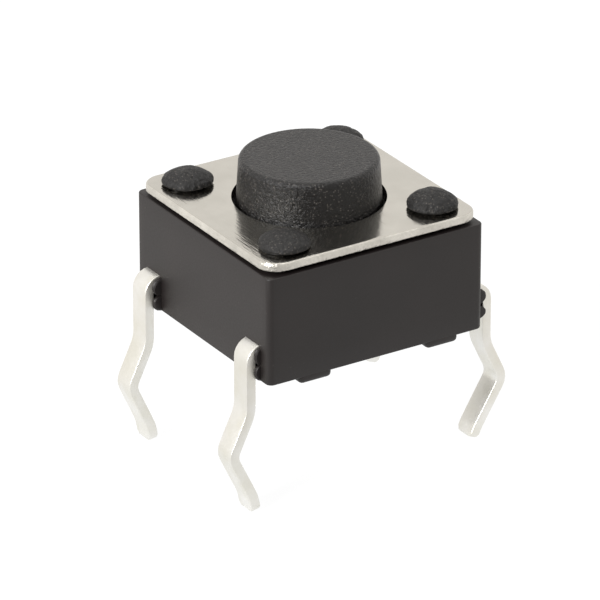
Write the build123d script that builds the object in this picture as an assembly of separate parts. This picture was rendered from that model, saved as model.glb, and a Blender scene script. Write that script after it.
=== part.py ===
from build123d import *
import os

# Square tactile push switch for a circuit board, in millimetres.
# z = 0 is the board's face, under the four feet, and the origin is the middle of the base.
# X runs across the two rows of leads and Y runs along each row.

# Base moulding
base_side = 6.0
base_corner_radius = 0.15
base_lower_chamfer = 0.05
wall_height = 2.755
foot_height = 0.175
foot_length = 0.9
foot_depth = 0.5
foot_half_pitch = 1.775
foot_shift = 0.09
foot_edge_radius = 0.06
land_height = 0.1
land_inset = 0.25
land_corner_radius = 0.35
gate_recess_radius = 0.5
gate_recess_depth = 0.1

# Posts that hold the cover plate, melted over into round heads
post_radius = 0.42
post_half_pitch = 2.12
post_plate_clearance = 0.03
head_radius = 0.62
head_rim_lift = 0.09
head_height = 0.38
head_crown_radius = 0.26
head_crown_bulge = 0.04

# Cover plate
plate_side = 5.92
plate_shift = 0.03
plate_thickness = 0.2
plate_corner_radius = 0.5
plate_edge_radius = 0.06

# Plunger
plunger_radius = 1.75
plunger_top_radius = 1.71
plunger_edge_radius = 0.1
plunger_top_height = 4.27
plunger_plate_clearance = 0.1
flange_radius = 2.15
flange_thickness = 0.6
flange_plate_clearance = 0.03
flange_well_clearance = 0.15
nub_radius = 0.6
nub_edge_radius = 0.1
nub_dome_clearance = 0.03

# Stamped terminals and their formed leads
strip_thickness = 0.25
lead_width = 0.6
row_half_pitch = 2.25
strip_underside_height = 0.85
lead_half_spacing = 3.3
exit_bend_radius = 0.325
shoulder_drop = 0.67
kink_reach = 0.5
kink_drop = 1.72
heel_reach = -0.065
heel_drop = 2.89
tip_reach = -0.14
tip_drop = 3.27
shoulder_bend_radius = 1.0
kink_bend_radius = 0.4
heel_bend_radius = 1.0
tip_chamfer = 0.12

# How each lead came out of forming, against the sizes above:
# its row further out, all of it higher, its tip leaning further out, its tip cut shorter
front_left_lead = (-0.1, 0.0, 0.0, 0.0)
back_left_lead = (-0.015, 0.0, 0.05, 0.0)
front_right_lead = (0.14, 0.17, -0.13, 0.08)
back_right_lead = (0.1, 0.34, -0.13, 0.08)

# Contacts
pad_height = 0.1
centre_pad_radius = 0.3
side_pad_radius = 0.25
tongue_width = 0.8
arm_width = 0.7
contact_end_margin = 0.1

# Snap dome
dome_radius = 2.0
dome_rise = 0.36
dome_thickness = 0.07
dome_half_width = 1.5
dome_rim_overhang = 0.05

# Moulded saddles between the wall and each lead
saddle_lobes = 2
saddle_side_width = 0.08
saddle_wrap = 0.04
saddle_cap = 0.07
saddle_root = 0.2

# Places that follow from the sizes above
base_half = base_side / 2
rim_height = foot_height + wall_height
plate_underside = rim_height + land_height
plate_top = plate_underside + plate_thickness
strip_top = strip_underside_height + strip_thickness
pad_top = strip_top + pad_height
dome_top = pad_top + dome_rise
well_radius = flange_radius + flange_well_clearance
side_pad_offset = dome_radius + dome_rim_overhang - side_pad_radius
flange_top = plate_underside - flange_plate_clearance
flange_underside = flange_top - flange_thickness
nub_underside = dome_top + nub_dome_clearance
sides = (-1, 1)


def corners(half_pitch):
    return [(x * half_pitch, y * half_pitch) for x in sides for y in sides]


def plate_blank(side, thickness, corner_radius, bottom, shift=0.0):
    blank = extrude(RectangleRounded(side, side, corner_radius), thickness)
    return Pos(shift, shift, bottom) * blank


def disc(radius, bottom, top, x=0.0, y=0.0):
    return Pos(x, y, bottom) * extrude(Circle(radius), top - bottom)


def lead_form(x_side, y_side):
    if x_side < 0:
        return front_left_lead if y_side < 0 else back_left_lead
    return front_right_lead if y_side < 0 else back_right_lead


def lead_corner_points(x_side, y_side):
    """Centre line of one formed lead, from the strip down to the tip."""
    further_out, lift, lean, trim = lead_form(x_side, y_side)
    row_x = lead_half_spacing + further_out
    heel_lean = lean * (heel_drop - kink_drop) / (tip_drop - kink_drop)
    points = [
        (row_x, strip_underside_height + strip_thickness / 2),
        (row_x, lift - shoulder_drop),
        (row_x + kink_reach, lift - kink_drop),
        (row_x + heel_reach + heel_lean, lift - heel_drop),
        (row_x + tip_reach + lean, lift + trim - tip_drop),
    ]
    return [(x_side * x, 0, z) for x, z in points]


def formed_strip(y_side):
    """One straight strip through the base with a kinked lead at each end."""
    left = lead_corner_points(-1, y_side)
    right = lead_corner_points(1, y_side)
    bends = [exit_bend_radius, shoulder_bend_radius, kink_bend_radius, heel_bend_radius]
    line = FilletPolyline(*reversed(left), *right, radius=[*reversed(bends), *bends])
    section_plane = Plane(origin=line @ 0, x_dir=(0, 1, 0), z_dir=line % 0)
    section = section_plane * Rectangle(lead_width, strip_thickness)
    strip = sweep(section, path=line)
    tip_edges = []
    for tip in (line @ 0, line @ 1):
        end_face = strip.faces().sort_by_distance(tip)[0]
        tip_edges += [edge for edge in end_face.edges() if abs(edge.length - strip_thickness) < 0.01]
    return Pos(0, y_side * row_half_pitch, 0) * chamfer(tip_edges, tip_chamfer)


def contact_arm(width, x, row_y, end_y):
    length = abs(row_y - end_y)
    arm = Box(width, length, strip_thickness)
    return Pos(x, (row_y + end_y) / 2, (strip_underside_height + strip_top) / 2) * arm


def centre_terminal():
    """Back strip with the tongue that carries the middle contact."""
    tongue_end = -(centre_pad_radius + contact_end_margin)
    terminal = formed_strip(1)
    terminal += contact_arm(tongue_width, 0, row_half_pitch, tongue_end)
    return terminal + disc(centre_pad_radius, strip_top, pad_top)


def ring_terminal():
    """Front strip with two arms that carry the side contacts under the dome's rim."""
    arm_end = side_pad_radius + contact_end_margin
    terminal = formed_strip(-1)
    for side in sides:
        terminal += contact_arm(arm_width, side * side_pad_offset, -row_half_pitch, arm_end)
        terminal += disc(side_pad_radius, strip_top, pad_top, side * side_pad_offset)
    return terminal


def foot(x_side, y_side):
    block = Box(foot_length, foot_depth, foot_height)
    block = fillet(block.edges().group_by(Axis.Z)[0], foot_edge_radius)
    y = y_side * (base_half - foot_depth / 2)
    return Pos(foot_shift + x_side * foot_half_pitch, y, foot_height / 2) * block


def saddle(side, y_side):
    """Rounded lobes that stand out of the wall behind one lead and wrap its inner corner."""
    wall_x = side * base_half
    row_x = lead_corner_points(side, y_side)[0][0]
    gap = abs(row_x) - strip_thickness / 2 - base_half
    reach = gap + saddle_wrap
    lobe_height = (strip_top + saddle_cap - foot_height) / saddle_lobes
    lobes = Part()
    for lobe in range(saddle_lobes):
        low = foot_height + lobe * lobe_height
        high = low + lobe_height
        front = ThreePointArc(
            (wall_x, 0, low), (wall_x + side * reach, 0, (low + high) / 2), (wall_x, 0, high)
        )
        back = Polyline(
            (wall_x, 0, high),
            (wall_x - side * saddle_root, 0, high),
            (wall_x - side * saddle_root, 0, low),
            (wall_x, 0, low),
        )
        outline = make_face([front, back])
        width = lead_width + 2 * saddle_side_width
        lobes += extrude(outline, width / 2, dir=(0, 1, 0), both=True)
    return Pos(0, y_side * row_half_pitch, 0) * lobes


def staked_post(x, y):
    """A post through the plate with its end melted over into a low round head."""
    rim = plate_top + head_rim_lift
    top = plate_top + head_height
    crown_middle = (
        (head_radius + head_crown_radius) / 2 + head_crown_bulge, 0, (rim + top) / 2 + head_crown_bulge
    )
    outline = [
        Line((0, 0, rim_height), (post_radius, 0, rim_height)),
        Line((post_radius, 0, rim_height), (post_radius, 0, plate_top)),
        Line((post_radius, 0, plate_top), (head_radius, 0, rim)),
        ThreePointArc((head_radius, 0, rim), crown_middle, (head_crown_radius, 0, top)),
        Line((head_crown_radius, 0, top), (0, 0, top)),
        Line((0, 0, top), (0, 0, rim_height)),
    ]
    return Pos(x, y, 0) * revolve(make_face(outline), Axis.Z)


def base_housing(terminals):
    """One moulding: walls, floor, feet, saddles and the four staked posts."""
    block = extrude(RectangleRounded(base_side, base_side, base_corner_radius), wall_height)
    block = chamfer(block.faces().sort_by(Axis.Z)[0].edges(), base_lower_chamfer)
    base = Pos(0, 0, foot_height) * block
    land_side = base_side - 2 * land_inset
    base += plate_blank(land_side, land_height, land_corner_radius, rim_height)
    base -= disc(well_radius, strip_top, plate_underside)
    base -= disc(gate_recess_radius, foot_height, foot_height + gate_recess_depth)
    for x_side in sides:
        for y_side in sides:
            base += foot(x_side, y_side)
            base += saddle(x_side, y_side)
    for x, y in corners(post_half_pitch):
        base += staked_post(x, y)
    for terminal in terminals:
        base -= terminal
    return base


def cover_plate():
    """Punched plate with the plunger's hole and one hole for each post."""
    plate = plate_blank(
        plate_side, plate_thickness, plate_corner_radius, plate_underside, plate_shift
    )
    plate = fillet(plate.faces().sort_by(Axis.Z)[-1].edges(), plate_edge_radius)
    plate -= disc(plunger_radius + plunger_plate_clearance, plate_underside, plate_top)
    for x, y in corners(post_half_pitch):
        plate -= disc(post_radius + post_plate_clearance, plate_underside, plate_top, x, y)
    return plate


def plunger():
    """Round button with a retaining flange and a nub that presses the dome."""
    outline = Polyline(
        (0, 0, nub_underside),
        (nub_radius, 0, nub_underside),
        (nub_radius, 0, flange_underside),
        (flange_radius, 0, flange_underside),
        (flange_radius, 0, flange_top),
        (plunger_radius, 0, flange_top),
        (plunger_radius, 0, plate_top),
        (plunger_top_radius, 0, plunger_top_height),
        (0, 0, plunger_top_height),
        (0, 0, nub_underside),
    )
    button = revolve(make_face(outline), Axis.Z)
    rings = button.edges().filter_by(GeomType.CIRCLE).sort_by(Axis.Z)
    button = fillet(rings[-1], plunger_edge_radius)
    nub_ring = button.edges().filter_by(GeomType.CIRCLE).sort_by(Axis.Z)[0]
    return fillet(nub_ring, nub_edge_radius)


def cap_point(radius, centre_height, reach):
    return (reach, 0, centre_height + (radius**2 - reach**2) ** 0.5)


def snap_dome():
    """Shallow domed disc with two straight sides, standing on the side contacts."""
    outer_radius = (dome_radius**2 + dome_rise**2) / (2 * dome_rise)
    inner_radius = outer_radius - dome_thickness
    centre_height = dome_top - outer_radius
    inner_rim = (inner_radius**2 - (pad_top - centre_height) ** 2) ** 0.5
    outline = [
        ThreePointArc(
            (0, 0, dome_top),
            cap_point(outer_radius, centre_height, dome_radius / 2),
            (dome_radius, 0, pad_top),
        ),
        Line((dome_radius, 0, pad_top), (inner_rim, 0, pad_top)),
        ThreePointArc(
            (inner_rim, 0, pad_top),
            cap_point(inner_radius, centre_height, inner_rim / 2),
            (0, 0, dome_top - dome_thickness),
        ),
        Line((0, 0, dome_top - dome_thickness), (0, 0, dome_top)),
    ]
    shell = revolve(make_face(outline), Axis.Z)
    keep = Box(2 * dome_radius, 2 * dome_half_width, dome_rise)
    return shell & (Pos(0, 0, pad_top + dome_rise / 2) * keep)


os.makedirs("parts", exist_ok=True)
back_terminal = centre_terminal()
front_terminal = ring_terminal()
nodes = {
    "base_housing": base_housing([back_terminal, front_terminal]),
    "cover_plate": cover_plate(),
    "plunger": plunger(),
    "centre_terminal": back_terminal,
    "ring_terminal": front_terminal,
    "snap_dome": snap_dome(),
}
for name, shape in nodes.items():
    export_step(shape, f"parts/{name}.step")
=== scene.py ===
import math
import random

import bmesh
import bpy
from mathutils import Matrix, Vector, noise


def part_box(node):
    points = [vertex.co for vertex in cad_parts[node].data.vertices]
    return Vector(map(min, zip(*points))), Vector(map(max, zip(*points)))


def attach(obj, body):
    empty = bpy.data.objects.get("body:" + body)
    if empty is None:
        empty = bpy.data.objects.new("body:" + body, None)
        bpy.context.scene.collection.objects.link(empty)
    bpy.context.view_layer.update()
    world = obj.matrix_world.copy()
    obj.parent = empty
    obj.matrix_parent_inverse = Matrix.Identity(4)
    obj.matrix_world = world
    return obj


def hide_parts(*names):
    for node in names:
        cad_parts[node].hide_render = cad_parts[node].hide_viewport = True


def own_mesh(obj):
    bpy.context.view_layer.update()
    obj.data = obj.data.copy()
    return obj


# Small square push switch for a circuit board, seen close up on a white table.
# Lengths are written in millimetres and turned to metres where a mesh is made.

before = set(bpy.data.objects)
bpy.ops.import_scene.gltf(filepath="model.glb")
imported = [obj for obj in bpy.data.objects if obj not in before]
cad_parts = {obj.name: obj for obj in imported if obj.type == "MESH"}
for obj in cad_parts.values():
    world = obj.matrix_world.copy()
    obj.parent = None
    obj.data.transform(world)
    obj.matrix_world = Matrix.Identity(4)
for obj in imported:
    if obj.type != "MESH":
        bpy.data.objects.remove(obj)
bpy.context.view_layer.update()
mm = 0.001
sides = (-1, 1)

baseLow, baseHigh = (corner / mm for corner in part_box("base_housing"))
plateLow, plateHigh = (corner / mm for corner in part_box("cover_plate"))
plungerLow, plungerHigh = (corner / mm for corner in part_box("plunger"))
frontLow, frontHigh = (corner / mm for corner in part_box("ring_terminal"))
backLow, backHigh = (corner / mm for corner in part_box("centre_terminal"))
domeLow, domeHigh = (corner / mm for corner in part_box("snap_dome"))
print("frame loaded")


def toLinear(hexText):
    # sRGB hex to the linear colour that the shaders want
    channels = [int(hexText[i:i + 2], 16) / 255 for i in (1, 3, 5)]
    linear = [c / 12.92 if c <= 0.04045 else ((c + 0.055) / 1.055) ** 2.4 for c in channels]
    return (*linear, 1.0)


def addNode(tree, kind, links=None, **settings):
    # one node with its settings; links is {input socket: output socket}
    node = tree.nodes.new(kind)
    for name, value in settings.items():
        if name in node.inputs:
            node.inputs[name].default_value = value
        else:
            setattr(node, name, value)
    for name, source in (links or {}).items():
        tree.links.new(source, node.inputs[name])
    return node


def newMaterial(name):
    material = bpy.data.materials.new(name)
    material.use_nodes = True
    tree = material.node_tree
    tree.nodes.clear()
    spot = addNode(tree, "ShaderNodeTexCoord").outputs["Object"]
    return material, tree, spot


def perMetre(sizeMm):
    # texture scale for a pattern that repeats about every sizeMm
    return 1 / (sizeMm * mm)


def ramp(tree, source, low, high, lowColour, highColour):
    node = addNode(tree, "ShaderNodeValToRGB", {"Fac": source})
    node.color_ramp.elements[0].position = low
    node.color_ramp.elements[0].color = lowColour
    node.color_ramp.elements[1].position = high
    node.color_ramp.elements[1].color = highColour
    return node.outputs["Color"]


def grey(value):
    return (value, value, value, 1.0)


def meshObject(name, verts, faces, material, smooth=True):
    mesh = bpy.data.meshes.new(name)
    mesh.from_pydata([Vector(v) * mm for v in verts], [], faces)
    mesh.validate()
    mesh.polygons.foreach_set("use_smooth", [smooth] * len(mesh.polygons))
    mesh.materials.append(material)
    piece = bpy.data.objects.new(name, mesh)
    bpy.context.scene.collection.objects.link(piece)
    return piece


def evenOut(piece):
    # flat faces keep their own normals beside the small rounded edges
    piece.modifiers.new("weighted normals", "WEIGHTED_NORMAL").keep_sharp = True


def label(xSide, ySide):
    return ("right" if xSide > 0 else "left") + ("_back" if ySide > 0 else "_front")


def place(piece, body, slotName, *nodes):
    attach(piece, body)
    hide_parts(*nodes)


def skinRings(rings, closed=False, fans=True):
    # quads between rings of equal length; an open end is closed by a fan or by one flat face
    count = len(rings[0])
    verts = [point for ring in rings for point in ring]
    faces = []
    pairs = len(rings) if closed else len(rings) - 1
    for i in range(pairs):
        j = (i + 1) % len(rings)
        for k in range(count):
            n = (k + 1) % count
            faces.append((i * count + k, i * count + n, j * count + n, j * count + k))
    if not closed and not fans:
        last = (len(rings) - 1) * count
        faces += [tuple(reversed(range(count))), tuple(range(last, last + count))]
    if not closed and fans:
        for ringIndex, flip in ((0, True), (len(rings) - 1, False)):
            ring = rings[ringIndex]
            middle = len(verts)
            verts.append(tuple(sum(p[a] for p in ring) / count for a in range(3)))
            for k in range(count):
                a, b = ringIndex * count + k, ringIndex * count + (k + 1) % count
                faces.append((b, a, middle) if flip else (a, b, middle))
    return verts, faces


def squareDirections(perSide, perCorner):
    # where each point of a rounded square lies: on a corner at an angle, or part way along a side
    points = []
    for quarter in range(4):
        start = quarter * math.pi / 2
        for i in range(perCorner + 1):
            points.append(("corner", quarter, start + i / perCorner * math.pi / 2))
        for i in range(1, perSide):
            points.append(("side", quarter, i / perSide))
    return points


def squareRing(half, radius, z, layout):
    ring = []
    centres = [(1, 1), (-1, 1), (-1, -1), (1, -1)]
    inner = half - radius
    for kind, quarter, value in layout:
        cx, cy = (c * inner for c in centres[quarter])
        if kind == "corner":
            ring.append((cx + radius * math.cos(value), cy + radius * math.sin(value), z))
            continue
        angle = (quarter + 1) * math.pi / 2
        nx, ny = (c * inner for c in centres[(quarter + 1) % 4])
        x = cx + (nx - cx) * value + radius * math.cos(angle)
        y = cy + (ny - cy) * value + radius * math.sin(angle)
        ring.append((x, y, z))
    return ring


def roundRing(radius, z, like, x=0.0, y=0.0):
    # circle whose points stand in the same directions as those of another ring
    ring = []
    for px, py, _ in like:
        length = math.hypot(px, py)
        ring.append((x + radius * px / length, y + radius * py / length, z))
    return ring


def turned(profile, segments, x=0.0, y=0.0):
    # rings of a turned shape from (radius, height) pairs
    angles = [2 * math.pi * k / segments for k in range(segments)]
    return [
        [(x + r * math.cos(a), y + r * math.sin(a), z) for a in angles] for r, z in profile
    ]


def arcPoints(cx, cz, radius, startDeg, endDeg, steps):
    return [
        (cx + radius * math.cos(math.radians(startDeg + (endDeg - startDeg) * i / steps)),
         cz + radius * math.sin(math.radians(startDeg + (endDeg - startDeg) * i / steps)))
        for i in range(steps + 1)
    ]


def roundedBox(name, low, high, bevel, material, steps=3):
    box = bmesh.new()
    bmesh.ops.create_cube(box, size=1.0)
    size = Vector(high) - Vector(low)
    middle = (Vector(high) + Vector(low)) / 2
    for v in box.verts:
        v.co = Vector((v.co.x * size.x, v.co.y * size.y, v.co.z * size.z)) + middle
    bmesh.ops.bevel(box, geom=box.edges[:], offset=bevel, segments=steps, affect="EDGES",
                    profile=0.5)
    verts = [tuple(v.co) for v in box.verts]
    faces = [tuple(v.index for v in f.verts) for f in box.faces]
    box.free()
    piece = meshObject(name, verts, faces, material)
    evenOut(piece)
    return piece


def blackMouldedPlastic(name, look):
    # carbon-black PBT or POM: its own colour is nearly nothing, so the eye sees only the grey sheen
    # of the moulded skin, broken by the fine pits of a spark-eroded mould
    material, tree, spot = newMaterial(name)
    grain = addNode(tree, "ShaderNodeTexNoise", {"Vector": spot}, Scale=perMetre(look["grainMm"]),
                    Detail=3.0, Roughness=0.6)
    cloud = addNode(tree, "ShaderNodeTexNoise", {"Vector": spot}, Scale=perMetre(look["cloudMm"]),
                    Detail=2.0)
    tone = ramp(tree, cloud.outputs["Fac"], 0.3, 0.7, toLinear(look["darkHex"]),
                toLinear(look["lightHex"]))
    # scattered pale specks: painted glints, the sparkle of the grain put into the colour
    paintedGlint = addNode(tree, "ShaderNodeTexVoronoi", {"Vector": spot}, Scale=perMetre(look["paintedGlintMm"]))
    pale = ramp(tree, paintedGlint.outputs["Distance"], 0.0, look["paintedGlintSize"], grey(1.0), grey(0.0))
    chance = addNode(tree, "ShaderNodeSeparateColor", {"Color": paintedGlint.outputs["Color"]})
    chosen = ramp(tree, chance.outputs["Red"], 1 - look["paintedGlintShare"], 1.02 - look["paintedGlintShare"],
                  grey(0.0), grey(look["paintedGlint"]))
    amount = addNode(tree, "ShaderNodeMath", operation="MULTIPLY")
    tree.links.new(pale, amount.inputs[0])
    tree.links.new(chosen, amount.inputs[1])
    colour = addNode(tree, "ShaderNodeMix", data_type="RGBA")
    # sockets 0, 6 and 7 are the factor and the two colours
    tree.links.new(amount.outputs[0], colour.inputs[0])
    tree.links.new(tone, colour.inputs[6])
    colour.inputs[7].default_value = toLinear(look["paintedGlintHex"])
    rough = ramp(tree, grain.outputs["Fac"], 0.3, 0.7, grey(look["roughLow"]), grey(look["roughHigh"]))
    waves = addNode(tree, "ShaderNodeBump", {"Height": cloud.outputs["Fac"]},
                    Strength=look["waves"], Distance=0.02 * mm)
    bump = addNode(tree, "ShaderNodeBump", {"Height": grain.outputs["Fac"], "Normal": waves.outputs[0]},
                   Strength=look["bump"], Distance=look["depthMm"] * mm)
    shader = addNode(tree, "ShaderNodeBsdfPrincipled",
                     {"Base Color": colour.outputs[2], "Roughness": rough, "Normal": bump.outputs[0]},
                     IOR=look["ior"])
    addNode(tree, "ShaderNodeOutputMaterial", {"Surface": shader.outputs[0]})
    return material


# polished mould walls: an even soft sheen with hardly any grain and a few painted glints
wallLook = {"grainMm": 0.05, "cloudMm": 1.6, "darkHex": "#15100F", "lightHex": "#1A1413",
            "paintedGlintMm": 0.12, "paintedGlintSize": 0.25, "paintedGlintShare": 0.03, "paintedGlint": 0.3,
            "paintedGlintHex": "#4A4642", "roughLow": 0.46, "roughHigh": 0.54, "waves": 0.1, "bump": 0.1,
            "depthMm": 0.004, "ior": 1.5}
# spark-eroded grain, drawn coarser than its real 0.04 mm so that its glitter shows; its pale specks are
# painted glints
plungerLook = {"grainMm": 0.075, "cloudMm": 0.4, "darkHex": "#080606", "lightHex": "#0E0C0B",
               "paintedGlintMm": 0.04, "paintedGlintSize": 0.62, "paintedGlintShare": 0.16, "paintedGlint": 0.7,
               "paintedGlintHex": "#6E6862", "roughLow": 0.26, "roughHigh": 0.44, "waves": 0.25,
               "bump": 1.0, "depthMm": 0.042, "ior": 1.45}
# melted and pressed under a cold punch: lumpy and dull, with pale specks that are painted glints
headLook = {"grainMm": 0.09, "cloudMm": 0.22, "darkHex": "#050404", "lightHex": "#100E0D",
            "paintedGlintMm": 0.045, "paintedGlintSize": 0.6, "paintedGlintShare": 0.2, "paintedGlint": 0.6,
            "paintedGlintHex": "#6A645D", "roughLow": 0.5, "roughHigh": 0.75, "waves": 1.0,
            "bump": 1.0, "depthMm": 0.05, "ior": 1.5}


def rolledTinplate(name, look):
    # tin-plated steel strip, cold rolled: bright, with fine roll lines that comb its reflections
    material, tree, spot = newMaterial(name)
    stretch = addNode(tree, "ShaderNodeMapping", {"Vector": spot})
    stretch.inputs["Scale"].default_value = (1.0, look["lineMm"] / look["lineLengthMm"], 1.0)
    lines = addNode(tree, "ShaderNodeTexNoise", {"Vector": stretch.outputs[0]},
                    Scale=perMetre(look["lineMm"]), Detail=2.0, Roughness=0.55)
    haze = addNode(tree, "ShaderNodeTexNoise", {"Vector": spot}, Scale=perMetre(0.7), Detail=3.0)
    speck = addNode(tree, "ShaderNodeTexNoise", {"Vector": spot}, Scale=perMetre(0.06), Detail=2.0)
    tone = ramp(tree, haze.outputs["Fac"], 0.35, 0.7, toLinear(look["darkHex"]),
                toLinear(look["lightHex"]))
    rough = ramp(tree, speck.outputs["Fac"], 0.35, 0.75, grey(look["roughLow"]), grey(look["roughHigh"]))
    bump = addNode(tree, "ShaderNodeBump", {"Height": lines.outputs["Fac"]},
                   Strength=look["bump"], Distance=look["depthMm"] * mm)
    fine = addNode(tree, "ShaderNodeBump", {"Height": speck.outputs["Fac"], "Normal": bump.outputs[0]},
                   Strength=look["fineBump"], Distance=0.004 * mm)
    shader = addNode(tree, "ShaderNodeBsdfPrincipled",
                     {"Base Color": tone, "Roughness": rough, "Normal": fine.outputs[0]},
                     Metallic=1.0)
    addNode(tree, "ShaderNodeOutputMaterial", {"Surface": shader.outputs[0]})
    return material


# fine roll lines that fray the edges of what the sheet mirrors
plateLook = {"lineMm": 0.045, "lineLengthMm": 0.7, "darkHex": "#C7C4BC", "lightHex": "#CECBC3",
             "roughLow": 0.09, "roughHigh": 0.16, "bump": 0.6, "depthMm": 0.006, "fineBump": 0.1}
# torn by the punch: rough, so it glints in specks
shearLook = {"lineMm": 0.08, "lineLengthMm": 0.16, "darkHex": "#CCC9C1", "lightHex": "#E2DFD7",
             "roughLow": 0.32, "roughHigh": 0.5, "bump": 1.0, "depthMm": 0.035, "fineBump": 0.7}
# soft satin plating: blurs all that it mirrors
leadLook = {"lineMm": 0.4, "lineLengthMm": 0.5, "darkHex": "#E3E1D8", "lightHex": "#ECEBE7",
            "roughLow": 0.4, "roughHigh": 0.5, "bump": 0.2, "depthMm": 0.015, "fineBump": 0.05}
# hole wall: bare cut steel, its colour darkened far below any steel's to paint the shade inside the punched
# hole
holeShadeLook = {"lineMm": 0.05, "lineLengthMm": 0.2, "darkHex": "#3E3C39", "lightHex": "#565350",
           "roughLow": 0.45, "roughHigh": 0.6, "bump": 0.6, "depthMm": 0.02, "fineBump": 0.4}
# bright spring steel with fine lines
domeLook = {"lineMm": 0.03, "lineLengthMm": 0.5, "darkHex": "#BDBDBB", "lightHex": "#CFCFCC",
            "roughLow": 0.18, "roughHigh": 0.3, "bump": 0.25, "depthMm": 0.003, "fineBump": 0.1}

wallPlastic = blackMouldedPlastic("black PBT, fine moulded matte", wallLook)
plungerPlastic = blackMouldedPlastic("black POM, spark-eroded grain", plungerLook)
headPlastic = blackMouldedPlastic("black PBT, melted and pressed", headLook)
plateMetal = rolledTinplate("tin-plated steel, cold rolled", plateLook)
shearMetal = rolledTinplate("tin-plated steel, sheared edge", shearLook)
# darkened steel for the hole wall: painted shade
holeShadeMetal = rolledTinplate("bare steel darkened as painted shade, punched hole", holeShadeLook)
leadMetal = rolledTinplate("tin-plated brass, punched", leadLook)
domeMetal = rolledTinplate("spring steel, bright rolled", domeLook)
print("materials made")


base = {
    "cornerRadius": 0.16, "edgeRadius": 0.05, "rimRadius": 0.03, "footHeight": 0.175,
    "wallHeight": 2.755, "landInset": 0.45, "landCorner": 0.3, "wellRadius": 2.3,
    "wellFloor": 1.1, "gateRadius": 0.5, "gateDepth": 0.1, "perSide": 28, "perCorner": 8,
}


def makeBaseShell(b):
    half = baseHigh.y
    under = baseLow.z + b["footHeight"]
    rim = under + b["wallHeight"]
    land = plateLow.z
    corner = b["cornerRadius"]
    layout = squareDirections(b["perSide"], b["perCorner"])
    outer = squareRing(half, corner, under, layout)
    rings = [
        roundRing(b["gateRadius"] * 0.5, under + b["gateDepth"], outer),
        roundRing(b["gateRadius"] * 0.96, under + b["gateDepth"], outer),
        roundRing(b["gateRadius"], under + b["gateDepth"] * 0.8, outer),
        roundRing(b["gateRadius"], under + 0.02, outer),
        roundRing(b["gateRadius"] + 0.02, under, outer),
        roundRing(1.6, under, outer),
    ]
    e = b["edgeRadius"]
    for r, z in arcPoints(half - e, under + e, e, -90, 0, 4):
        rings.append(squareRing(r, corner - (half - r) * 0.6, z, layout))
    for step in range(1, 6):
        z = under + e + (rim - under - e - b["rimRadius"]) * step / 5
        rings.append(squareRing(half, corner, z, layout))
    e = b["rimRadius"]
    for r, z in arcPoints(half - e, rim - e, e, 22, 90, 3):
        rings.append(squareRing(r, corner - (half - r) * 0.6, z, layout))
    landHalf = half - b["landInset"]
    rings.append(squareRing(landHalf + 0.02, b["landCorner"], rim, layout))
    rings.append(squareRing(landHalf, b["landCorner"], rim + 0.02, layout))
    rings.append(squareRing(landHalf, b["landCorner"], land, layout))
    well = b["wellRadius"]
    rings.append(roundRing(well + 0.03, land, outer))
    rings.append(roundRing(well, land - 0.03, outer))
    rings.append(roundRing(well, b["wellFloor"] + 0.04, outer))
    rings.append(roundRing(well - 0.04, b["wellFloor"], outer))
    rings.append(roundRing(well * 0.5, b["wellFloor"], outer))
    verts, faces = skinRings(rings)
    piece = meshObject("base_moulding", verts, faces, wallPlastic)
    evenOut(piece)
    place(piece, "base", "base_plastic", "base_housing")


feet = {"length": 0.9, "depth": 0.5, "halfPitch": 1.775, "shift": 0.09, "radius": 0.12, "sink": 0.03}


def makeFeet(f):
    top = baseLow.z + base["footHeight"] + f["sink"]
    for xSide in sides:
        for ySide in sides:
            x = f["shift"] + xSide * f["halfPitch"]
            outerY = ySide * (baseHigh.y - 0.002)
            innerY = ySide * (baseHigh.y - f["depth"])
            low = (x - f["length"] / 2, min(outerY, innerY), baseLow.z)
            high = (x + f["length"] / 2, max(outerY, innerY), top + f["radius"])
            piece = roundedBox(f"foot_{label(xSide, ySide)}", low, high, f["radius"], wallPlastic, 4)
            place(piece, "base", "base_plastic", "base_housing")


# two rounded lobes of plastic that stand out of the wall behind each lead
saddle = {"low": 0.19, "waist": 0.585, "top": 1.04, "halfWidth": 0.385, "wrap": 0.06, "root": 0.2}


def makeSaddles(s):
    for xSide in sides:
        wall = xSide * baseHigh.y
        for ySide in sides:
            gap = abs(rowX(xSide, ySide)) - leads["thickness"] / 2 - baseHigh.y
            reach = gap + s["wrap"]
            back = wall - xSide * s["root"]
            outline = [(back, s["top"] - 0.03), (back, s["low"] + 0.03)]
            for low, high in ((s["low"], s["waist"]), (s["waist"], s["top"])):
                for i in range(13):
                    t = i / 12
                    bulge = math.sin(math.pi * t) ** 0.45
                    wobble = 1 + 0.1 * noise.noise((xSide * 3.1, ySide * 2.7, low * 5 + t * 3))
                    outline.append((wall + xSide * (reach * bulge * wobble - 0.01), low + t * (high - low)))
            middle = (wall - xSide * s["root"] * 0.5, (s["low"] + s["top"]) / 2)
            rings = []
            for offset, shrink in ((-1, 0.92), (-0.94, 1.0), (0.94, 1.0), (1, 0.92)):
                y = ySide * leads["halfPitch"] + offset * s["halfWidth"]
                rings.append([
                    (middle[0] + (x - middle[0]) * shrink, y, middle[1] + (z - middle[1]) * shrink)
                    for x, z in outline
                ])
            verts, faces = skinRings(rings, fans=False)
            piece = meshObject(f"saddle_{label(xSide, ySide)}", verts, faces, wallPlastic)
            fixNormals(piece)
            for polygon in piece.data.polygons:
                polygon.use_smooth = abs(polygon.normal.y) < 0.7
            place(piece, "base", "base_plastic", "base_housing")


def fixNormals(piece):
    mesh = bmesh.new()
    mesh.from_mesh(piece.data)
    bmesh.ops.recalc_face_normals(mesh, faces=mesh.faces)
    mesh.to_mesh(piece.data)
    mesh.free()


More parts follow.
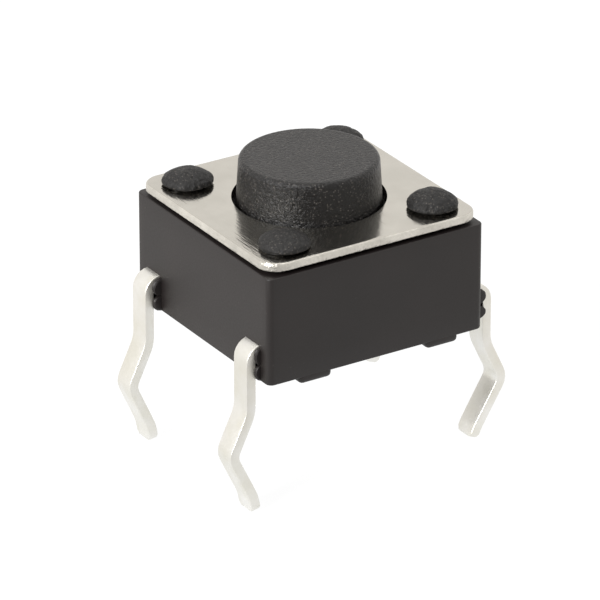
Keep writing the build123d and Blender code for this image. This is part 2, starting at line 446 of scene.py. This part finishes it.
# posts melted over the plate; each one came out a little different
heads = {
    "halfPitch": 2.12, "postRadius": 0.42, "radius": 0.62, "rimLift": 0.09, "segments": 120,
    "rimWander": 0.02, "lumps": 0.02, "pits": 0.006, "nicks": 6,
    # left front, left back, right front, right back: crown above the plate, and how far it slumped
    "crowns": {(-1, -1): (0.36, 0.11, 0.0), (-1, 1): (0.36, 0.04, 0.02), (1, -1): (0.44, 0.0, 0.02),
               (1, 1): (0.4, 0.09, 0.06)},
}


def makeHeads(h):
    for index, ((xSide, ySide), (crown, slumpX, slumpY)) in enumerate(h["crowns"].items()):
        random.seed(40 + index)
        cx, cy = xSide * h["halfPitch"], ySide * h["halfPitch"]
        top, rimZ = plateHigh.z + crown, plateHigh.z + h["rimLift"]
        nicks = [(random.uniform(0, 2 * math.pi), random.uniform(0.015, 0.04)) for _ in range(h["nicks"])]
        tilt = Vector((random.uniform(-1, 1), random.uniform(-1, 1))) * 0.03
        profile = []
        for share in (0.06, 0.14, 0.22, 0.3, 0.38, 0.46, 0.54, 0.61, 0.68, 0.74, 0.8, 0.85, 0.9, 0.94, 0.97):
            profile.append((h["radius"] * share, top - (top - rimZ) * 0.82 * share ** 2.4))
        profile += arcPoints(h["radius"] - 0.05, rimZ + 0.005, 0.05, 50, -80, 7)
        loose = len(profile)
        profile += [(0.52, plateHigh.z + 0.035), (h["postRadius"] + 0.02, plateHigh.z + 0.004),
                    (h["postRadius"], plateHigh.z - 0.05), (h["postRadius"], plateLow.z - 0.05)]
        rings = []
        for ringIndex, (radius, height) in enumerate(profile):
            ring = []
            for k in range(h["segments"]):
                angle = 2 * math.pi * k / h["segments"]
                dx, dy = math.cos(angle), math.sin(angle)
                r, z, share = radius, height, min(1.0, radius / h["radius"])
                moved = 1.0 if ringIndex < loose else 0.0
                if moved:
                    r += h["rimWander"] * noise.noise((dx * 1.6 + index * 7, dy * 1.6, 0.3)) * share
                    r += 0.008 * noise.noise((dx * 6 + index * 3, dy * 6, 2.3)) * share
                    for nickAngle, depth in nicks:
                        r -= depth * math.exp(-(1 - math.cos(angle - nickAngle)) * 260) * share ** 6
                    lump = noise.noise((dx * r * 6 + index * 11, dy * r * 6, 1.7))
                    pit = noise.noise((dx * r * 22 + index * 5, dy * r * 22, 4.1))
                    z += h["lumps"] * lump * (1 - 0.6 * share ** 4) + h["pits"] * pit
                    z += (tilt.x * dx + tilt.y * dy) * r * 0.6
                ring.append((cx + slumpX * moved + r * dx, cy + slumpY * moved + r * dy, z))
            rings.append(ring)
        verts, faces = skinRings(rings)
        piece = meshObject(f"staked_head_{label(xSide, ySide)}", verts, faces, headPlastic)
        fixNormals(piece)
        place(piece, "base", "base_plastic", "base_housing")


plate = {
    "half": 2.965, "shift": (-0.005, 0.01),
    "cornerRadius": 0.5, "holeRadius": 1.85, "rollRadius": 0.06, "holeRoll": 0.012,
    "perSide": 90, "perCorner": 24,
}


def makePlate(p):
    half, (shiftX, shiftY) = p["half"], p["shift"]
    low, high, roll, corner = plateLow.z, plateHigh.z, p["rollRadius"], p["cornerRadius"]
    layout = squareDirections(p["perSide"], p["perCorner"])
    flat = squareRing(half, corner, low, layout)
    rings, metals = [], []

    def addRing(ring, metal):
        rings.append(ring)
        metals.append(metal)

    def outline(inset, z, torn):
        # the sheared side is a little torn, and only ever inward of its true outline
        ring = []
        for x, y, _ in squareRing(half - inset, max(0.1, corner - inset), z, layout):
            tear = torn * (0.5 + 0.5 * noise.noise((x * 9, y * 9, z * 14)))
            tear += torn * 0.5 * max(0.0, noise.noise((x * 25, y * 25, z * 30)))
            shrink = 1 - tear / half
            ring.append((x * shrink + shiftX, y * shrink + shiftY, z))
        return ring

    addRing(outline(0.04, low, 0.0), 1)
    addRing(outline(0.01, low + 0.004, 0.01), 1)
    for step in range(5):
        addRing(outline(0.0, low + 0.02 + (high - roll - low - 0.02) * step / 4, 0.012), 1)
    for r, z in arcPoints(0, high - roll, roll, 18, 90, 5):
        addRing(outline(roll - r, z, 0.016 if z < high - 0.003 else 0.0), 1 if z < high - 0.012 else 0)
    for inset in (0.12, 0.25, 0.5):
        addRing(outline(inset, high, 0.0), 0)
    holeRoll = p["holeRoll"]
    addRing(roundRing(p["holeRadius"] + 0.12, high, flat), 0)
    for r, z in arcPoints(p["holeRadius"] + holeRoll, high - holeRoll, holeRoll, 90, 180, 3):
        addRing(roundRing(r, z, flat), 0)
    # the hole wall takes the darkened steel: painted shade inside the hole
    addRing(roundRing(p["holeRadius"], high - 0.03, flat), 2)
    addRing(roundRing(p["holeRadius"], low + 0.02, flat), 2)
    addRing(roundRing(p["holeRadius"] + 0.01, low, flat), 2)
    verts, faces = skinRings(rings, closed=True)
    piece = meshObject("cover_plate_punched", verts, faces, plateMetal)
    piece.data.materials.append(shearMetal)
    piece.data.materials.append(holeShadeMetal)
    for index, polygon in enumerate(piece.data.polygons):
        polygon.material_index = metals[index // len(flat)]
    fixNormals(piece)
    evenOut(piece)
    place(piece, "base", "plate_steel", "cover_plate")


plunger = {
    "radius": 1.745, "topRadius": 1.69, "edgeRadius": 0.13, "flangeRadius": 2.15,
    "flangeThickness": 0.6, "flangeGap": 0.03, "nubRadius": 0.6, "segments": 160,
}


def makePlunger(p):
    top, bottom = plungerHigh.z, plungerLow.z
    flangeTop = plateLow.z - p["flangeGap"]
    flangeLow = flangeTop - p["flangeThickness"]
    edge = p["edgeRadius"]
    profile = [(0.25, bottom), (p["nubRadius"] - 0.1, bottom)]
    profile += arcPoints(p["nubRadius"] - 0.1, bottom + 0.1, 0.1, -60, 0, 3)
    profile += [(p["nubRadius"], flangeLow - 0.05), (p["nubRadius"] + 0.05, flangeLow)]
    profile += [(p["flangeRadius"] - 0.04, flangeLow), (p["flangeRadius"], flangeLow + 0.04)]
    profile += [(p["flangeRadius"], flangeTop - 0.04), (p["flangeRadius"] - 0.04, flangeTop)]
    profile += [(p["radius"] + 0.03, flangeTop), (p["radius"], flangeTop + 0.03)]
    for step in range(1, 6):
        share = step / 5
        z = plateHigh.z + (top - edge - plateHigh.z) * share
        profile.append((p["radius"] - (p["radius"] - p["topRadius"]) * share, z))
    profile += arcPoints(p["topRadius"] - edge, top - edge, edge, 10, 90, 8)
    profile += [(p["topRadius"] * share, top) for share in (0.9, 0.75, 0.5, 0.25)]
    verts, faces = skinRings(turned(profile, p["segments"]))
    piece = meshObject("plunger_button", verts, faces, plungerPlastic)
    fixNormals(piece)
    evenOut(piece)
    place(piece, "button", "plunger_plastic", "plunger")


leads = {
    "width": 0.6, "thickness": 0.25, "halfPitch": 2.25, "halfSpacing": 3.3, "stripMiddle": 0.975,
    "shoulder": 0.67, "kinkReach": 0.5, "kink": 1.72, "heelReach": -0.065, "heel": 2.89,
    "tipReach": -0.14, "tip": 3.27, "bends": [0.325, 1.0, 0.4, 1.0], "edgeRound": 0.028, "tipTaper": 0.12,
    # how each lead came out of forming: row further out, higher, tip leaning out, tip shorter
    "forms": {(-1, -1): (-0.1, 0.0, 0.0, 0.0), (-1, 1): (-0.015, 0.0, 0.05, 0.0),
              (1, -1): (0.125, 0.17, -0.19, 0.11), (1, 1): (0.1, 0.34, -0.13, 0.08)},
}


def rowX(xSide, ySide):
    return xSide * (leads["halfSpacing"] + leads["forms"][xSide, ySide][0])


def leadCorners(xSide, ySide):
    _, lift, lean, trim = leads["forms"][xSide, ySide]
    x = abs(rowX(xSide, ySide))
    heelLean = lean * (leads["heel"] - leads["kink"]) / (leads["tip"] - leads["kink"])
    points = [
        (x, leads["stripMiddle"]), (x, lift - leads["shoulder"]),
        (x + leads["kinkReach"], lift - leads["kink"]),
        (x + leads["heelReach"] + heelLean, lift - leads["heel"]),
        (x + leads["tipReach"] + lean, lift + trim - leads["tip"]),
    ]
    return [(xSide * px, pz) for px, pz in points]


def roundedPath(corners, radii, stepLength=0.09):
    # points and directions along straight runs joined by tangent arcs, in the XZ plane
    points = []

    def addRun(a, b):
        count = max(1, round((b - a).length / 0.25))
        for i in range(count + 1):
            points.append((a + (b - a) * i / count, (b - a).normalized()))

    position = Vector(corners[0])
    for i, radius in enumerate(radii, start=1):
        corner, after = Vector(corners[i]), Vector(corners[i + 1])
        came, goes = (corner - Vector(corners[i - 1])).normalized(), (after - corner).normalized()
        turn = came.angle_signed(goes)
        reach = radius * math.tan(abs(turn) / 2)
        start = corner - came * reach
        addRun(position, start)
        steps = max(4, round(abs(turn) * radius / stepLength))
        hand = 1 if turn < 0 else -1
        centre = start + Vector((-came.y, came.x)) * radius * hand
        for k in range(1, steps):
            spin = Matrix.Rotation(abs(turn) * hand * k / steps, 2)
            points.append((centre + spin @ (start - centre), spin @ came))
        position = corner + goes * reach
    addRun(position, Vector(corners[-1]))
    clean = [points[0]]
    for point in points[1:]:
        if (point[0] - clean[-1][0]).length > 1e-4:
            clean.append(point)
    return clean


def stripSection(halfWidth, halfThick, rounding):
    # rounded rectangle; first number along the width, second through the thickness
    section = []
    for quarter, (sx, sy) in enumerate([(1, 1), (-1, 1), (-1, -1), (1, -1)]):
        for i in range(5):
            a = (quarter + i / 4) * math.pi / 2
            section.append((sx * (halfWidth - rounding) + rounding * math.cos(a),
                            sy * (halfThick - rounding) + rounding * math.sin(a)))
    return section


def makeTerminalStrip(name, row, node):
    corners = list(reversed(leadCorners(-1, row))) + leadCorners(1, row)
    bends = list(reversed(leads["bends"])) + leads["bends"]
    path = roundedPath(corners, bends)
    halfWidth, halfThick = leads["width"] / 2, leads["thickness"] / 2
    distance = [0.0]
    for (a, _), (b, _) in zip(path, path[1:]):
        distance.append(distance[-1] + (b - a).length)
    # extra rings near each tip, where the strip narrows and its end is rounded over
    total = distance[-1]
    stations = [0.0, 0.012, 0.03, 0.06, leads["tipTaper"], leads["tipTaper"] + 0.04]
    wanted = sorted(set(stations + [total - s for s in stations] + distance[2:-2]))
    rings = []
    for s in wanted:
        i = max(k for k in range(len(distance)) if distance[k] <= s + 1e-9)
        i = min(i, len(path) - 2)
        t = (s - distance[i]) / (distance[i + 1] - distance[i])
        point = path[i][0].lerp(path[i + 1][0], t)
        heading = path[i][1].lerp(path[i + 1][1], t).normalized()
        normal = Vector((-heading.y, heading.x))
        fromTip = min(s, total - s)
        taper = max(0.0, 1 - fromTip / leads["tipTaper"]) * leads["tipTaper"] * 0.75
        ease = max(0.0, 1 - fromTip / 0.03) ** 2 * 0.03
        section = stripSection(halfWidth - taper - ease, halfThick - ease, leads["edgeRound"])
        ring = []
        for across, through in section:
            spot = point + normal * through
            ring.append((spot.x, row * leads["halfPitch"] + across, spot.y))
        rings.append(ring)
    verts, faces = skinRings(rings)
    piece = meshObject(name, verts, faces, leadMetal)
    fixNormals(piece)
    evenOut(piece)
    place(piece, "base", "terminal_metal", node)


contacts = {
    "tongueWidth": 0.8, "armWidth": 0.7, "margin": 0.1, "centrePad": 0.3, "sidePad": 0.25,
    "padHeight": 0.1, "sideOffset": 1.8,
}


def makePad(name, radius, x, node):
    top = backHigh.z
    low = top - contacts["padHeight"] - 0.03
    profile = [(radius * 0.4, top), (radius * 0.86, top), (radius * 0.96, top - 0.015), (radius, top - 0.04),
               (radius, low)]
    verts, faces = skinRings(turned(profile, 48, x))
    piece = meshObject(name, verts, faces, leadMetal)
    fixNormals(piece)
    place(piece, "base", "terminal_metal", node)


def makeContacts(c):
    low = leads["stripMiddle"] - leads["thickness"] / 2
    high = leads["stripMiddle"] + leads["thickness"] / 2
    halfPitch = leads["halfPitch"]
    tongueEnd = -(c["centrePad"] + c["margin"])
    tongue = roundedBox("centre_contact_tongue", (-c["tongueWidth"] / 2, tongueEnd, low),
                        (c["tongueWidth"] / 2, halfPitch, high), 0.03, leadMetal)
    place(tongue, "base", "terminal_metal", "centre_terminal")
    makePad("centre_contact_pad", c["centrePad"], 0, "centre_terminal")
    for side in sides:
        sideName = "right" if side > 0 else "left"
        x = side * c["sideOffset"]
        arm = roundedBox(f"{sideName}_contact_arm", (x - c["armWidth"] / 2, -halfPitch, low),
                         (x + c["armWidth"] / 2, c["sidePad"] + c["margin"], high), 0.03, leadMetal)
        place(arm, "base", "terminal_metal", "ring_terminal")
        makePad(f"{sideName}_contact_pad", c["sidePad"], x, "ring_terminal")


dome = {"thickness": 0.07, "halfWidth": 1.5, "segments": 120, "rings": 10, "keep": 0.3}


def makeDome(d):
    radius, rise = domeHigh.x, domeHigh.z - domeLow.z
    ball = (radius ** 2 + rise ** 2) / (2 * rise)
    centre = domeHigh.z - ball

    def ring(share, ballRadius):
        points = []
        for k in range(d["segments"]):
            angle = 2 * math.pi * k / d["segments"]
            reach = min(radius, d["halfWidth"] / max(1e-6, abs(math.sin(angle)))) * share
            z = max(domeLow.z, centre + math.sqrt(ballRadius ** 2 - reach ** 2))
            points.append((reach * math.cos(angle), reach * math.sin(angle), z))
        return points

    shares = [(i + 1) / d["rings"] for i in range(d["rings"])]
    rings = [ring(share, ball) for share in shares]
    rings += [ring(share, ball - d["thickness"]) for share in reversed(shares)]
    verts, faces = skinRings(rings)
    piece = meshObject("snap_dome_disc", verts, faces, domeMetal)
    fixNormals(piece)
    place(piece, "base", "dome_steel", "snap_dome")
    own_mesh(piece)


makeBaseShell(base)
makeFeet(feet)
makeSaddles(saddle)
makeHeads(heads)
print("base moulding made")
makePlate(plate)
makePlunger(plunger)
print("cover plate and plunger made")
makeTerminalStrip("front_terminal_strip", -1, "ring_terminal")
makeTerminalStrip("back_terminal_strip", 1, "centre_terminal")
makeContacts(contacts)
makeDome(dome)
print("terminals and dome made")


studio = {
    "table": "#F4F4F3", "tableSize": 0.9, "shadowShare": 0.12, "fill": 0.5,
    # sheen light from the far side, across, and from the viewer's own dim side; ring in metres
    "towardsViewer": (-0.532, -0.847, 0.0), "steps": [(0.3, 1.0), (0.75, 0.85), (1.0, 0.55)],
    "tint": (1.0, 0.975, 0.945, 1.0), "closeRing": (0.006, 0.0095),
}


def sheenLight(tree, direction):
    # brightness of the surroundings as a shiny surface meets them, by compass direction
    unit = addNode(tree, "ShaderNodeVectorMath", operation="NORMALIZE")
    tree.links.new(direction, unit.inputs[0])
    facing = addNode(tree, "ShaderNodeVectorMath", operation="DOT_PRODUCT")
    tree.links.new(unit.outputs[0], facing.inputs[0])
    facing.inputs[1].default_value = studio["towardsViewer"]
    share = addNode(tree, "ShaderNodeMath", operation="MULTIPLY_ADD")
    tree.links.new(facing.outputs["Value"], share.inputs[0])
    share.inputs[1].default_value = 0.5
    share.inputs[2].default_value = 0.5
    steps = studio["steps"]
    node = addNode(tree, "ShaderNodeValToRGB", {"Fac": share.outputs[0]})
    node.color_ramp.elements[0].position, node.color_ramp.elements[0].color = steps[0][0], grey(steps[0][1])
    node.color_ramp.elements[1].position, node.color_ramp.elements[1].color = steps[-1][0], grey(steps[-1][1])
    for position, value in steps[1:-1]:
        node.color_ramp.elements.new(position).color = grey(value)
    warm = addNode(tree, "ShaderNodeMix", data_type="RGBA", blend_type="MULTIPLY")
    warm.inputs[0].default_value = 1.0
    tree.links.new(node.outputs["Color"], warm.inputs[6])
    warm.inputs[7].default_value = studio["tint"]
    return warm.outputs[2]


def raysSeen(tree):
    # 1 for what the viewer sees straight or through glass, and for sheen
    rays = addNode(tree, "ShaderNodeLightPath")
    direct = addNode(tree, "ShaderNodeMath", operation="MAXIMUM")
    tree.links.new(rays.outputs["Is Camera Ray"], direct.inputs[0])
    tree.links.new(rays.outputs["Is Transmission Ray"], direct.inputs[1])
    either = addNode(tree, "ShaderNodeMath", operation="MAXIMUM")
    tree.links.new(direct.outputs[0], either.inputs[0])
    tree.links.new(rays.outputs["Is Glossy Ray"], either.inputs[1])
    return direct.outputs[0], either.outputs[0]


def litColour(tree, sheen, direct):
    # white to the eye, graded to a sheen
    colour = addNode(tree, "ShaderNodeMix", data_type="RGBA")
    tree.links.new(direct, colour.inputs[0])
    tree.links.new(sheen, colour.inputs[6])
    colour.inputs[7].default_value = grey(1.0)
    return colour.outputs[2]


def makeTable(t):
    material, tree, spot = newMaterial("white table, matte paper")
    direct, either = raysSeen(tree)
    paper = addNode(tree, "ShaderNodeBsdfDiffuse", Color=toLinear(t["table"]))
    # the paper close round the part looks white even to its sheen
    reach = addNode(tree, "ShaderNodeVectorMath", {"Vector": spot}, operation="LENGTH")
    close = addNode(tree, "ShaderNodeMapRange", {"Value": reach.outputs["Value"]})
    for socket, value in zip(("From Min", "From Max", "To Min", "To Max"), (*t["closeRing"], 1.0, 0.0)):
        close.inputs[socket].default_value = value
    sheen = addNode(tree, "ShaderNodeMix", data_type="RGBA")
    tree.links.new(close.outputs[0], sheen.inputs[0])
    tree.links.new(sheenLight(tree, spot), sheen.inputs[6])
    sheen.inputs[7].default_value = grey(1.0)
    white = addNode(tree, "ShaderNodeEmission", {"Color": litColour(tree, sheen.outputs[2], direct)},
                    Strength=1.08)
    share = addNode(tree, "ShaderNodeMath", operation="MULTIPLY")
    tree.links.new(either, share.inputs[0])
    share.inputs[1].default_value = 1 - t["shadowShare"]
    mix = addNode(tree, "ShaderNodeMixShader")
    tree.links.new(share.outputs[0], mix.inputs[0])
    tree.links.new(paper.outputs[0], mix.inputs[1])
    tree.links.new(white.outputs[0], mix.inputs[2])
    addNode(tree, "ShaderNodeOutputMaterial", {"Surface": mix.outputs[0]})
    half = t["tableSize"] / 2 / mm
    z = min(frontLow.z, backLow.z)
    verts = [(-half, -half, z), (half, -half, z), (half, half, z), (-half, half, z)]
    top = meshObject("table_top", verts, [(0, 1, 2, 3)], material, smooth=False)


def makeWorld(t):
    world = bpy.data.worlds.new("white studio")
    bpy.context.scene.world = world
    world.use_nodes = True
    tree = world.node_tree
    tree.nodes.clear()
    direct, either = raysSeen(tree)
    direction = addNode(tree, "ShaderNodeTexCoord").outputs["Generated"]
    fill = addNode(tree, "ShaderNodeBackground", Color=grey(1.0), Strength=t["fill"])
    sheen = sheenLight(tree, direction)
    bright = addNode(tree, "ShaderNodeBackground", {"Color": litColour(tree, sheen, direct)}, Strength=1.0)
    mix = addNode(tree, "ShaderNodeMixShader")
    tree.links.new(either, mix.inputs[0])
    tree.links.new(fill.outputs[0], mix.inputs[1])
    tree.links.new(bright.outputs[0], mix.inputs[2])
    addNode(tree, "ShaderNodeOutputWorld", {"Surface": mix.outputs[0]})


lamps = {
    "key from the left": {"at": (-290, -70, 150), "size": 110, "watts": 1.1},
    "overhead": {"at": (40, 60, 330), "size": 200, "watts": 0.3},
}


def makeLamps(wanted):
    for name, lamp in wanted.items():
        data = bpy.data.lights.new(name, "AREA")
        data.size = lamp["size"] * mm
        data.energy = lamp["watts"]
        lampObject = bpy.data.objects.new(name, data)
        bpy.context.scene.collection.objects.link(lampObject)
        lampObject.location = Vector(lamp["at"]) * mm
        lampObject.rotation_euler = (-Vector(lamp["at"])).to_track_quat("-Z", "Y").to_euler()


# a long lens well back, so that upright edges stay nearly parallel
camera = {
    "azimuth": -32.16, "elevation": 25.475, "distance": 140.7, "aim": (0, 0, 1.98),
    "right": -0.218, "up": -1.36, "lens": 353.8,
}


def makeCamera(c):
    a, e = math.radians(c["azimuth"]), math.radians(c["elevation"])
    back = Vector((math.sin(a) * math.cos(e), -math.cos(a) * math.cos(e), math.sin(e)))
    right = Vector((math.cos(a), math.sin(a), 0))
    up = back.cross(right)
    data = bpy.data.cameras.new("camera")
    data.lens = c["lens"]
    data.sensor_width = 36
    data.clip_start = 0.005
    data.clip_end = 10
    cameraObject = bpy.data.objects.new("camera", data)
    bpy.context.scene.collection.objects.link(cameraObject)
    aim = Vector(c["aim"]) + right * c["right"] + up * c["up"]
    turn = Matrix((right, up, back)).transposed().to_4x4()
    cameraObject.matrix_world = Matrix.Translation((aim + back * c["distance"]) * mm) @ turn
    bpy.context.scene.camera = cameraObject


makeTable(studio)
makeWorld(studio)
makeLamps(lamps)
makeCamera(camera)
bpy.context.scene.view_settings.view_transform = "Standard"
print("table, light and camera set")
